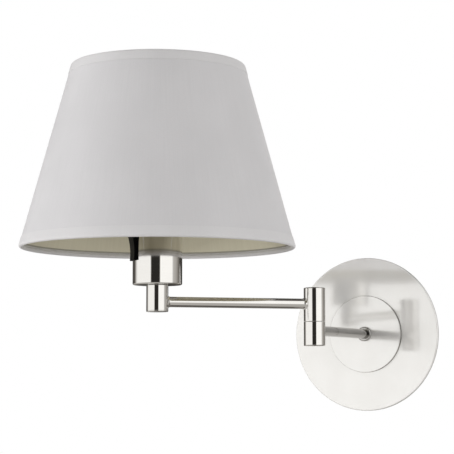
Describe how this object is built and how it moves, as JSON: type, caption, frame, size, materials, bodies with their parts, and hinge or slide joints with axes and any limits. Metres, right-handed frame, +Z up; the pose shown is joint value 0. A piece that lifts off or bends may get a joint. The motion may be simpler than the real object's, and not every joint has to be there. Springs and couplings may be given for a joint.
{
  "type": "wall lamp",
  "caption": "Swing-arm wall lamp: round rosette, fixed arm, friction elbow, swinging arm, turning lampholder cup with rocker switch, tapered fabric shade.",
  "frame": {"origin": "centre of the wall face, level with the wall arm", "axes": "+Y into the wall, +Z up; the wall arm stands out along -Y"},
  "size_m": [0.3116, 0.3543, 0.3166],
  "materials": {
    "satin_nickel": "satin nickel plate with a fine brushed grain",
    "zinc_steel": "bright zinc-plated steel",
    "brass": "bare turned brass",
    "contact_nickel": "nickel-plated pressed sheet",
    "black_plastic": "moulded black plastic, slightly glossy",
    "holder_plastic": "black moulded lampholder plastic",
    "nylon": "natural nylon",
    "lead_sleeve": "silicone sleeve, off-white",
    "shade_wire": "white-lacquered steel wire",
    "shade_fabric": "fine plain-weave cotton, pale grey",
    "shade_liner": "cream styrene sheet"
  },
  "bodies": {
    "wall": {"rosette": "satin_nickel", "fixing_bar": "zinc_steel", "lock_washer": "zinc_steel", "lock_nut": "zinc_steel", "earth_screw": "brass", "earth_tag": "brass", "arm_collar": "satin_nickel", "arm_root": "satin_nickel", "wall_arm": "satin_nickel", "elbow_lower": "satin_nickel", "elbow_bottom_cap": "satin_nickel", "elbow_pivot": "zinc_steel", "elbow_bearing_washer": "nylon", "elbow_spring_washer": "zinc_steel", "elbow_flat_washer": "zinc_steel", "elbow_nut": "zinc_steel", "wall_lead": "lead_sleeve"},
    "swing": {"elbow_upper": "satin_nickel", "elbow_top_cap": "satin_nickel", "elbow_friction_washer": "nylon", "elbow_stop_pin": "zinc_steel", "swing_arm": "satin_nickel", "head_knuckle": "satin_nickel", "knuckle_cap": "satin_nickel", "head_stop_pin": "zinc_steel", "head_bearing_washer": "nylon", "head_friction_washer": "nylon", "arm_lead": "lead_sleeve"},
    "head": {"head_pivot": "zinc_steel", "head_spring_washer": "zinc_steel", "head_nut": "zinc_steel", "cup_nut": "zinc_steel", "lampholder_cup": "satin_nickel", "lampholder_base": "holder_plastic", "lampholder_skirt": "holder_plastic", "contact_disc": "holder_plastic", "screw_shell": "contact_nickel", "centre_contact": "brass", "terminal_blocks": "brass", "terminal_screws": "zinc_steel", "head_lead": "lead_sleeve", "switch_leaf": "brass", "rocker_pin": "zinc_steel", "shade_ring": "holder_plastic", "shade_hub": "shade_wire", "shade_spokes": "shade_wire", "bottom_wire": "shade_wire", "top_wire": "shade_wire", "shade_liner": "shade_liner", "shade_fabric": "shade_fabric"},
    "rocker": {"rocker": "black_plastic"}
  },
  "joints": [
    {"name": "elbow_swing", "type": "hinge", "parent": "wall", "child": "swing", "pos_m": [0, -0.128, 0.0247], "axis": [0, 0, 1], "range_deg": [-42.5, 137.5]},
    {"name": "head_swivel", "type": "hinge", "parent": "swing", "child": "head", "pos_m": [-0.11059, -0.22934, 0.0399], "axis": [0, 0, 1], "range_deg": [-90, 90]},
    {"name": "rocker_tilt", "type": "hinge", "parent": "head", "child": "rocker", "pos_m": [-0.12276, -0.24049, 0.0762], "axis": [-0.6756, 0.7373, 0], "range_deg": [0, 14]}
  ]
}
